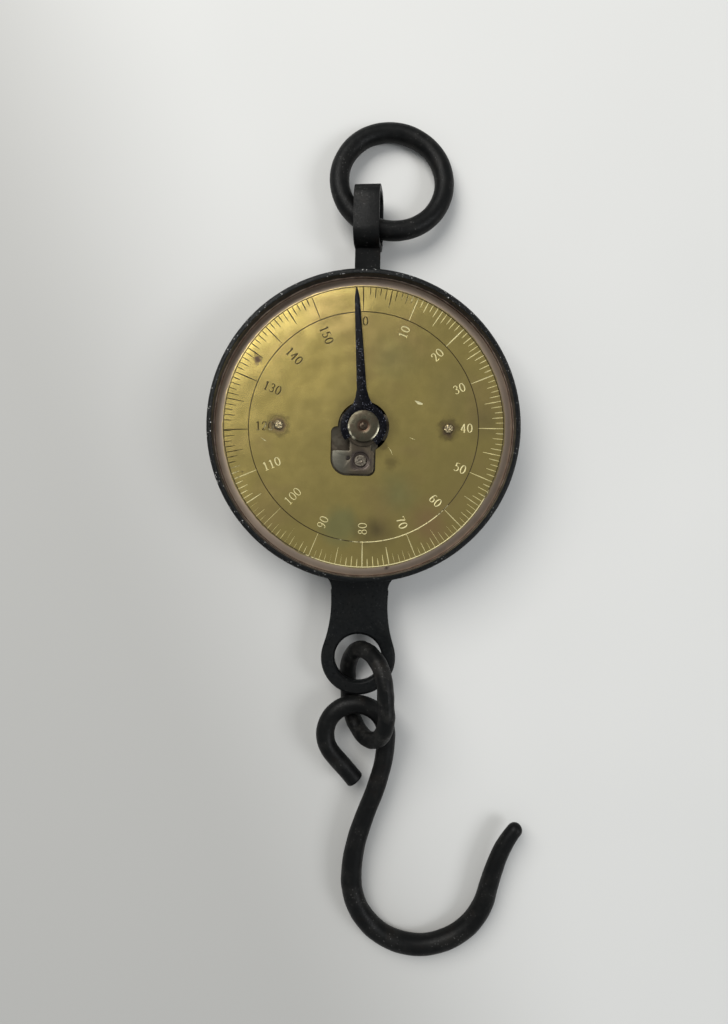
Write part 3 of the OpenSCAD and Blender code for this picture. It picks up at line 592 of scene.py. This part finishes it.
def battered(name):
    """Dark old brass, knocked all over, with pale spots at the knocks painted on as glints."""
    material, tree, shader, place = new_finish(name, 0.32, 0.95)
    knocks_and_glints = cells(tree, place, 0.9)
    grain = clouds(tree, place, 0.8, 4)
    colour = blended(tree, graded(tree, grain, 0.4, 0.6), (0.16, 0.13, 0.085), (0.46, 0.38, 0.22))
    # Painted glints: pale spots of colour at the knocks.
    colour = blended(tree, graded(tree, knocks_and_glints, 0.22, 0.1, 0, 0.5), colour, (0.95, 0.90, 0.72))
    join(tree, shader, colour, graded(tree, grain, 0.3, 0.7, 0.2, 0.42),
         relief(tree, knocks_and_glints, 0.35, relief(tree, grain, 0.15)))
    return material


def box_tool(name, centre, size, turn):
    """A saw's cut as a solid, in millimetres, turned about its own middle."""
    bpy.ops.object.select_all(action="DESELECT")
    bpy.ops.mesh.primitive_cube_add(size=mm)
    tool = bpy.context.object
    tool.name = name
    tool.data.transform(Matrix.Diagonal((*size, 1)))
    tool.data.transform(Matrix.Rotation(turn, 4, "Z"))
    tool.data.transform(Matrix.Translation(Vector(centre) * mm))
    return tool


def placed(piece, name, matrix):
    """Another of a piece, with a mesh of its own."""
    other = bpy.data.objects.new(name, piece.data.copy())
    other.data.transform(matrix)
    bpy.context.scene.collection.objects.link(other)
    return other


screw_brass = battered("brass_battered")
right_screw = turned("dial_screw_right", [(1.5, 18), (1.5, 28.2), (2.6, 28.2), (2.6, 28.55), (2.45, 28.9),
                                          (2.1, 29.18), (1.6, 29.36), (1.0, 29.46), (0.4, 29.5)],
                     40, (screw_x, 0))
right_screw.data.materials.append(screw_brass)
cut_away(right_screw, box_tool("slot_tool", (screw_x, 0, 29.35), (6, 0.65, 0.5), math.radians(28)))
smooth(right_screw)
left_screw = placed(right_screw, "dial_screw_left",
                    Matrix.Translation((-screw_x * mm, 0, 0)) @ Matrix.Rotation(math.radians(64), 4, "Z")
                    @ Matrix.Translation((-screw_x * mm, 0, 0)))
for screw in (left_screw, right_screw):
    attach(screw, "case")
    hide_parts("dial_screws")

# ---------- Bridge, cock and pillars ----------
# The bridge lies under the dial on two pillars. The cock, a brass finger screwed and pinned to it,
# shows through the dial's opening and carries the front end of the arbor.
screw_at = (-1.3, -18.2)


def worked_metal(name, base, dull, size, rough, metallic=0.9, stretch=(1, 1, 1)):
    """Plain metal: two tones in blotches of size millimetres, over fine file marks."""
    material, tree, shader, place = new_finish(name, rough[0], metallic)
    blotch = clouds(tree, place, size, 5)
    marks = clouds(tree, place, 0.5, 3, stretch=stretch)
    colour = blended(tree, graded(tree, blotch, 0.38, 0.64), base, dull)
    join(tree, shader, colour, graded(tree, blotch, 0.3, 0.7, *rough),
         relief(tree, marks, 0.03, relief(tree, blotch, 0.06)))
    return material


def cock_bronze(name):
    """Brown-grey brass, bluish towards the left, stained purple round its screw."""
    material, tree, shader, place = new_finish(name, 0.4, 0.7)
    blotch = clouds(tree, place, 4, 5)
    colour = blended(tree, graded(tree, blotch, 0.38, 0.64), (0.088, 0.070, 0.046), (0.060, 0.046, 0.031))
    left = graded(tree, axis_value(tree, place, "X"), -4 * mm, -13 * mm, 0, 0.7)
    colour = blended(tree, left, colour, (0.105, 0.104, 0.082))
    near = ragged(tree, from_middle(tree, place, screw_at), blotch, 1)
    colour = blended(tree, graded(tree, near, 6.5 * mm, 4.6 * mm, 0, 0.6), colour, (0.045, 0.033, 0.034))
    join(tree, shader, colour, graded(tree, blotch, 0.3, 0.7, 0.3, 0.5),
         relief(tree, blotch, 0.08, relief(tree, clouds(tree, place, 0.6, 3), 0.03)))
    return material


def eased_copy(node, name, body, material, width):
    """A CAD piece with its edges eased and a finish of its own."""
    piece = merged_copy(node, name)
    ease_edges(piece, width)
    smooth(piece)
    piece.data.materials.append(material)
    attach(piece, body)
    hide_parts(node)
    return piece


def finished(node, material):
    """A CAD piece that keeps its own mesh and takes a finish."""
    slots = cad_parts[node].data.materials
    slots.clear()
    slots.append(material)


bridge_steel = worked_metal("steel_bridge", (0.095, 0.083, 0.062), (0.05, 0.040, 0.030), 5, (0.4, 0.55))
dark_steel = worked_metal("steel_dark", (0.115, 0.105, 0.10), (0.06, 0.05, 0.045), 6, (0.4, 0.6),
                          stretch=(1, 6, 1))
bright_steel = worked_metal("steel_filed", (0.52, 0.51, 0.50), (0.33, 0.31, 0.29), 4, (0.26, 0.45),
                            stretch=(7, 1, 1))
eased_copy("bridge", "bridge_plate", "case", bridge_steel, 0.25)
eased_copy("cock", "cock_finger", "case", cock_bronze("bronze_cock"), 0.35)
eased_copy("dial_pillars", "pillars", "case", bright_steel, 0.15)

# ---------- Cock screw and steady pin ----------
# A steel screw with a head turned in steps, slotted and sunk in the cock, and the short steel pin
# driven through beside it that keeps the cock square.
cock_screw = turned("cock_screw_turned", [(1.8, 24), (1.8, 28.2), (3.2, 28.2), (3.2, 29.2), (3.0, 29.42),
                                          (2.3, 29.45), (2.2, 29.2), (1.75, 29.2), (1.65, 29.45),
                                          (0.9, 29.48), (0.3, 29.3)], 48, screw_at)
worn_steel = worked_metal("steel_worn", (0.24, 0.21, 0.165), (0.075, 0.06, 0.045), 0.9, (0.3, 0.45))
cock_screw.data.materials.append(worn_steel)
cut_away(cock_screw, box_tool("slot_tool", (*screw_at, 29.3), (8, 0.9, 0.7), math.radians(35)))
smooth(cock_screw)
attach(cock_screw, "case")
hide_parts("cock_screw")
# The steady pin is painted nearly black, as painted shade, so that it looks like a hole.
eased_copy("cock_pin", "steady_pin", "case",
           worked_metal("steel_pin_painted_shade", (0.04, 0.034, 0.03), (0.012, 0.010, 0.009), 1.2, (0.4, 0.6)), 0.25)

# ---------- Needle and hub ----------
# The needle is filed from blued steel plate, with an open ring for a boss. It springs onto a turned
# brass hub, which is driven onto the end of the arbor.


def needle_blue(name):
    """Blue-black steel, pitted so that grains of bare metal show."""
    material, tree, shader, place = new_finish(name, 0.38, 0.0, 0.07)
    lumps = clouds(tree, place, 1.1, 4)
    pit = sums(tree, "MULTIPLY", graded(tree, cells(tree, place, 0.85), 0.3, 0.1),
               graded(tree, clouds(tree, place, 2.4, 3), 0.46, 0.6, 0, 0.8))
    colour = blended(tree, graded(tree, lumps, 0.4, 0.7), (0.0016, 0.0017, 0.0028), (0.0035, 0.0035, 0.006))
    colour = blended(tree, pit, colour, (0.30, 0.31, 0.38))
    rough = graded(tree, lumps, 0.3, 0.7, 0.25, 0.5)
    join(tree, shader, colour, rough, sunk(tree, pit, relief(tree, lumps, 0.12)))
    return material


def hub_brass(name):
    """Brown brass, with painted highlights: bright crescents on both sides of its lower edge."""
    material, tree, shader, place = new_finish(name, 0.35, 0.85)
    blotch = clouds(tree, place, 2.5, 5)
    colour = blended(tree, graded(tree, blotch, 0.38, 0.64), (0.080, 0.072, 0.048), (0.055, 0.044, 0.029))
    away = from_middle(tree, place)
    # Painted highlight: bright crescents on the edge, low down and to either side of the middle.
    edge = sums(tree, "MULTIPLY", graded(tree, away, 7.2 * mm, 8.0 * mm),
                graded(tree, away, 9.2 * mm, 8.7 * mm))
    lower = graded(tree, axis_value(tree, place, "Y"), 2.5 * mm, -2.5 * mm)
    aside = graded(tree, sums(tree, "ABSOLUTE", axis_value(tree, place, "X"), 0), 3.5 * mm, 5.5 * mm)
    wear_and_highlight = sums(tree, "MULTIPLY", edge, lower)
    patchy = sums(tree, "MULTIPLY", aside, graded(tree, blotch, 0.40, 0.55, 0.15, 1))
    colour = blended(tree, sums(tree, "MULTIPLY", wear_and_highlight, patchy), colour, (0.62, 0.58, 0.43))
    colour = blended(tree, graded(tree, away, 8.55 * mm, 8.7 * mm), colour, (0.05, 0.040, 0.028))
    colour = blended(tree, graded(tree, away, 4.2 * mm, 2.4 * mm, 0, 0.8), colour, (0.06, 0.030, 0.018))
    join(tree, shader, colour, graded(tree, blotch, 0.3, 0.7, 0.25, 0.45), relief(tree, blotch, 0.06))
    return material


eased_copy("pointer_hand", "needle", "pointer", needle_blue("steel_blued"), 0.4)
hub = turned("hub", [(2.02, 30.1), (10.7, 30.1), (10.7, 30.75), (10.55, 30.9), (8.5, 30.9), (8.5, 32.5),
                     (8.3, 32.95), (7.6, 33.2), (6.0, 33.34), (4.2, 33.4), (3.4, 33.38), (2.7, 33.1),
                     (2.02, 33.0)], 96, bored=True)
hub.data.materials.append(hub_brass("brass_hub"))
smooth(hub)
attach(hub, "pointer")
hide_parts("pointer_hub")

# ---------- Arbor, pinion and rack ----------
# The train: the strap carries a brass rack, a leaf spring presses it on the arbor's pinion, and the
# arbor turns the needle. All of it is cut from bar and left bright.
browned = worked_metal("steel_browned", (0.070, 0.052, 0.036), (0.022, 0.015, 0.010), 1.2, (0.3, 0.5))
arbor = eased_copy("arbor", "arbor_turned", "pointer", browned, 0.12)
cut_away(arbor, box_tool("slot_tool", (0, 0, 33.7), (5, 0.5, 0.5), math.radians(50)))
inner_brass = worked_metal("brass_inner", (0.72, 0.56, 0.28), (0.52, 0.39, 0.19), 5, (0.25, 0.42), 1.0)
spring_steel = worked_metal("steel_spring", (0.24, 0.25, 0.29), (0.13, 0.13, 0.15), 5, (0.28, 0.48),
                            stretch=(5, 1, 1))
for node in ("pinion", "rack", "rear_bush"):
    finished(node, inner_brass)
for node in ("rack_pin", "stop_pin", "crosshead_rivets"):
    finished(node, bright_steel)
finished("rack_spring", spring_steel)

# ---------- Crosshead and anchor bar ----------
# Two bars of dark steel, one riveted across the strap's tongue and one screwed to the case. The
# springs hook into them.
eased_copy("crosshead", "crosshead_bar", "strap", dark_steel, 0.4)
eased_copy("anchor_bar", "anchor_plate", "case", dark_steel, 0.4)
eased_copy("anchor_screws", "anchor_screw_pair", "case", dark_steel, 0.25)

# ---------- Springs ----------
# Two long springs wound from oiled steel wire, each end bent out into a loop. The lower loop holds
# to the case and the upper one to the strap, so the coils open as the load pulls.
wire_r = 1.25
coil_r = 6.25
turns = 18
loop_r = 5.0
spring_x = 28
spring_mid = -16.0
spring_z = 14.5
spring_half = 38.0
coil_half = spring_half - loop_r - 2 * wire_r - 1.5


def bar(name, line, radii, sides, closed=False):
    """A round bar bent along a line of points, with its radius at each (millimetres)."""
    curve = bpy.data.curves.new(name, "CURVE")
    curve.dimensions = "3D"
    curve.bevel_depth = mm
    curve.bevel_resolution = sides // 4 - 1
    curve.use_fill_caps = not closed
    spline = curve.splines.new("POLY")
    spline.points.add(len(line) - 1)
    spline.use_cyclic_u = closed
    for point, place, radius in zip(spline.points, line, radii):
        point.co = (*(Vector(place) * mm), 1)
        point.radius = radius
    piece = bpy.data.objects.new(name, curve)
    bpy.context.scene.collection.objects.link(piece)
    select_only(piece)
    bpy.ops.object.convert(target="MESH")
    piece = bpy.context.object
    bpy.ops.object.mode_set(mode="EDIT")
    bpy.ops.mesh.select_all(action="SELECT")
    bpy.ops.mesh.remove_doubles(threshold=weld_gap)
    bpy.ops.mesh.normals_make_consistent(inside=False)
    bpy.ops.object.mode_set(mode="OBJECT")
    return piece


def end_loop(end):
    """From the coil's end out round the edge of a bar, in the plane of the spring's axis."""
    angles = [math.radians(degrees) for degrees in range(180, -101, -10)]
    return [Vector((0, end * (spring_half + loop_r * math.cos(angle)), loop_r * math.sin(angle)))
            for angle in angles]


def coil_point(turn):
    """The coil at a number of turns, drawn in to the axis over its first and last half turn."""
    radius = coil_r * min(1, turn / 0.5 + 0.05, (turns - turn) / 0.5 + 0.05)
    angle = 2 * math.pi * turn
    return Vector((radius * math.sin(angle), 2 * coil_half * (turn / turns - 0.5), radius * math.cos(angle)))


coil = [coil_point(step / 20) for step in range(20 * turns + 1)]
line = end_loop(-1)[::-1] + coil + end_loop(1)
wound = bar("spring_right_wound", line, [wire_r] * len(line), 12)
wound.data.materials.append(spring_steel)
smooth(wound, 60)
left_wound = placed(wound, "spring_left_wound", Matrix())
for x, piece, node in ((spring_x, wound, "spring_right"), (-spring_x, left_wound, "spring_left")):
    piece.data.transform(Matrix.Translation(Vector((x, spring_mid, spring_z)) * mm))
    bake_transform(piece)
    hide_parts(node)

# ---------- Strap ----------
# A flat bar of iron that slides out of the case, its end forged over into an upright eye for the
# ring. It was blacked hot, with oil, and its edges are worn round.


def blackened(name, wear_and_highlight, rust, size):
    """Iron blacked at the forge: nearly black, greyer where hands and the next piece have worn it, in
    blotches of size millimetres, with a little rust."""
    material, tree, shader, place = new_finish(name, 0.45, 0.0, 0.13)
    lumps = clouds(tree, place, size, 4, 0.6)
    grain = clouds(tree, place, 0.7, 4)
    colour = blended(tree, graded(tree, lumps, 0.42, 0.7, 0, wear_and_highlight), (0.0030, 0.0032, 0.0032),
                     (0.022, 0.021, 0.019))
    rusty = graded(tree, clouds(tree, place, 11, 4, 0.6), 0.55, 0.75, 0, rust)
    colour = blended(tree, rusty, colour, (0.018, 0.011, 0.007))
    pit = sums(tree, "MULTIPLY", graded(tree, cells(tree, place, 1.3), 0.25, 0.1),
               graded(tree, lumps, 0.5, 0.65, 0, 0.5))
    colour = blended(tree, pit, colour, (0.16, 0.155, 0.15))
    rough = graded(tree, grain, 0.3, 0.7, 0.34, 0.56)
    normal = relief(tree, grain, 0.06, relief(tree, lumps, 0.35))
    join(tree, shader, colour, rough, sunk(tree, pit, normal))
    return material


eased_copy("strap", "strap_forged", "strap", blackened("iron_strap", 0.12, 0.25, 7), 0.7)

# ---------- Suspension ring ----------
# A ring of round iron bar, bent hot, welded shut and blacked. The hammer has left it a little uneven.
# It leans in the strap's eye, with its far side on the table.
eye_at = Vector((0, 113.6, 14.5))
ring_bar = 11.1
ring_r = 29.45
ring_turn = Matrix.Rotation(math.radians(-25.7), 4, "Z")
ring_lean = Matrix.Rotation(math.radians(-8.74), 4, "X")


def hammered(piece, size, depth):
    """Sinks shallow marks about size millimetres apart into a piece, and never raises it."""
    places = [(vert.co / (size * mm), vert.normal.copy()) for vert in piece.data.vertices]
    for vert, (place, out) in zip(piece.data.vertices, places):
        from_mark = noise.voronoi(place)[0][0]
        vert.co -= out * depth * mm * max(0.0, 1 - from_mark / 0.8)


bpy.ops.object.select_all(action="DESELECT")
bpy.ops.mesh.primitive_torus_add(major_segments=160, minor_segments=36, major_radius=ring_r * mm,
                                 minor_radius=ring_bar / 2 * mm)
ring = bpy.context.object
ring.name = "ring_forged"
hammered(ring, 11, 0.22)
ring.data.transform(Matrix.Translation(eye_at * mm) @ ring_turn @ ring_lean
                    @ Matrix.Translation((0, ring_r * mm, 0)))
ring.data.materials.append(blackened("iron_ring", 0.25, 0.15, 9))
smooth(ring, 60)
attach(ring, "ring")
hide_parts("suspension_ring")

# ---------- Link ----------
# One link of heavy chain, forged from round iron bar with long hammer flats and blacked. It leans on
# edge through the hole in the case's lug.
link_at = Vector((5.10, -145.30, 20.90))
link_bar = 9.6
link_r = 18.5
link_side = 6.3
link_turn = Matrix.Rotation(math.radians(4.3), 4, "Z")
link_pitch = Matrix.Rotation(math.radians(3.1), 4, "X")
link_roll = Matrix.Rotation(math.radians(-56.6), 4, "Y")
half_turn = [math.radians(degrees) for degrees in range(0, 181, 4)]
line = [Vector((link_r * math.cos(angle), link_side + link_r * math.sin(angle), 0)) for angle in half_turn]
line += [Vector((-point.x, -point.y, 0)) for point in line]
link = bar("link_forged", line, [link_bar / 2] * len(line), 32, closed=True)
select_only(link)
bpy.ops.object.mode_set(mode="EDIT")
bpy.ops.mesh.select_all(action="DESELECT")
bpy.ops.object.mode_set(mode="OBJECT")
for edge in link.data.edges:        # the straight sides need corners too, or the hammer leaves no mark
    start, end = [link.data.vertices[i].co for i in edge.vertices]
    edge.select = (start - end).length > 4 * mm
bpy.ops.object.mode_set(mode="EDIT")
bpy.ops.mesh.subdivide(number_cuts=9)
bpy.ops.object.mode_set(mode="OBJECT")
hammered(link, 9, 0.55)
link.data.transform(Matrix.Translation(link_at * mm) @ link_turn @ link_pitch @ link_roll)
link.data.materials.append(blackened("iron_link", 0.6, 0.25, 6))
smooth(link, 60)
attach(link, "link")
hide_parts("link")

# ---------- Hook ----------
# A heavy hook forged in one from round iron bar and blacked: rolled into an open eye at the top,
# thickest at the bottom of the bowl and drawn down to a blunt tip. Hammer marks run all along it.
hook_at = Vector((-0.3005, -168.903, 14.39))
eye_r = 16.9
bowl_r = 38.5
shank = 82.0
curl = 223
bowl_end = 348
tip = Vector((bowl_r + 52, -shank + 29.9, 0))
tip_way = Vector((0.6, 0.8, 0))
bar_eye = 5.25
bar_bowl = 6.0
bar_tip = 4.4
bar_end = bar_bowl - 0.3
eye_steps = 74
shank_steps = 80
bowl_steps = 100
point_steps = 36
hook_turn = Matrix.Rotation(math.radians(-0.4), 4, "Z")


def on_circle(centre, radius, degrees):
    """A point of a circle that lies flat."""
    angle = math.radians(degrees)
    return Vector((centre[0] + radius * math.cos(angle), centre[1] + radius * math.sin(angle), 0))


def swung(a, b, c, d, steps):
    """A smooth bend from a to d that leaves towards b and comes in from c, without its first point."""
    found = []
    for i in range(1, steps + 1):
        late = i / steps
        early = 1 - i / steps
        found.append(early ** 3 * a + 3 * early * early * late * b + 3 * early * late * late * c
                     + late ** 3 * d)
    return found


eye = [on_circle((0, 0), eye_r, curl - curl * i / eye_steps) for i in range(eye_steps + 1)]
tail_way = (eye[0] - eye[1]).normalized()
tail = [eye[0] + tail_way * far for far in (20, 19.7, 19, 17, 15, 13, 11, 9, 7, 5, 3, 1.5)]
drop = 0.42 * shank
body = swung(Vector((eye_r, 0, 0)), Vector((eye_r, -drop, 0)), Vector((0, drop - shank, 0)),
             Vector((0, -shank, 0)), shank_steps)
bowl = [on_circle((bowl_r, -shank), bowl_r, 180 + (bowl_end - 180) * i / bowl_steps)
        for i in range(1, bowl_steps + 1)]
way = Vector((-math.sin(math.radians(bowl_end)), math.cos(math.radians(bowl_end)), 0))
point = swung(bowl[-1], bowl[-1] + 12 * way, tip - 14 * tip_way, tip, point_steps)
nose = [(tip + bar_tip * math.sin(angle) * tip_way, bar_tip * math.cos(angle))
        for angle in [math.radians(degrees) for degrees in (15, 30, 45, 60, 72, 82)]]
line = tail + eye + body + bowl + point + [place for place, radius in nose]
radii = [4.2, 4.75] + [bar_eye - 0.1] * (len(tail) - 2) + [bar_eye] * len(eye)
radii += [bar_eye + (bar_bowl - bar_eye) * (i / shank_steps) ** 3 for i in range(1, shank_steps + 1)]
radii += [bar_bowl - 0.3 * (i / bowl_steps) ** 4 for i in range(1, bowl_steps + 1)]
radii += [bar_end * (1 - i / point_steps) + bar_tip * i / point_steps for i in range(1, point_steps + 1)]
radii += [radius for place, radius in nose]
hook = bar("hook_forged", line, radii, 32)
hammered(hook, 13, 0.35)
tilt = math.asin((hook_at.z - bar_bowl) / (shank + bowl_r))     # the bowl rests on the table
hook.data.transform(Matrix.Translation(hook_at * mm) @ Matrix.Rotation(tilt, 4, "X") @ hook_turn)
hook.data.materials.append(blackened("iron_hook", 0.3, 0.2, 10))
smooth(hook, 60)
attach(hook, "hook")
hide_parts("hook")

# ---------- Room ----------
# A plain pale table, painted, with painted shade that makes it a little darker towards the left; a
# large soft light high on the left, a smaller one on the right and a pale room all round.
bpy.ops.object.select_all(action="DESELECT")
bpy.ops.mesh.primitive_plane_add(size=40, location=(0, 0, -0.05 * mm))
table = bpy.context.object
table.name = "table"
table_paint_and_shade, tree, shader, place = new_finish("table_paint_and_shade", 0.9)
colour = blended(tree, clouds(tree, place, 260, 2), (0.60, 0.60, 0.585), (0.67, 0.665, 0.65))
# Painted shade: the table darkens towards the left and the bottom.
away = sums(tree, "ADD", axis_value(tree, place, "X"),
            sums(tree, "MULTIPLY", axis_value(tree, place, "Y"), 0.45))
colour = blended(tree, graded(tree, away, 10 * mm, -190 * mm, 0, 0.8), colour, (0.38, 0.375, 0.36))
tree.links.new(colour, shader.inputs["Base Color"])
table.data.materials.append(table_paint_and_shade)

world = bpy.data.worlds.new("room")
bpy.context.scene.world = world
world.use_nodes = True
world.node_tree.nodes["Background"].inputs["Color"].default_value = (0.93, 0.97, 1.0, 1)
world.node_tree.nodes["Background"].inputs["Strength"].default_value = 0.40
lamps = [("window", (-0.70, 0.93, 1.45), 1.3, 31, (1.0, 0.985, 0.95)),
         ("ceiling", (1.6, -0.35, 1.6), 0.9, 17, (0.96, 0.98, 1.0))]
for name, spot, size, power, tint in lamps:
    lamp = bpy.data.lights.new(name, "AREA")
    lamp.shape = "SQUARE"
    lamp.size = size
    lamp.energy = power
    lamp.color = tint
    fitting = bpy.data.objects.new(name, lamp)
    fitting.location = spot
    fitting.rotation_euler = (-Vector(spot)).to_track_quat("-Z", "Y").to_euler()
    bpy.context.scene.collection.objects.link(fitting)

lens = bpy.data.cameras.new("camera")
lens.sensor_fit = "VERTICAL"
lens.sensor_height = 36
lens.sensor_width = 36
lens.lens = 27.04
lens.clip_start = 0.01
camera = bpy.data.objects.new("camera", lens)
camera.location = (1.35 * mm, -45.68 * mm, 441 * mm)
camera.rotation_euler = (0, 0, math.radians(1.39))
bpy.context.scene.collection.objects.link(camera)
bpy.context.scene.camera = camera
bpy.context.scene.view_settings.view_transform = "Standard"
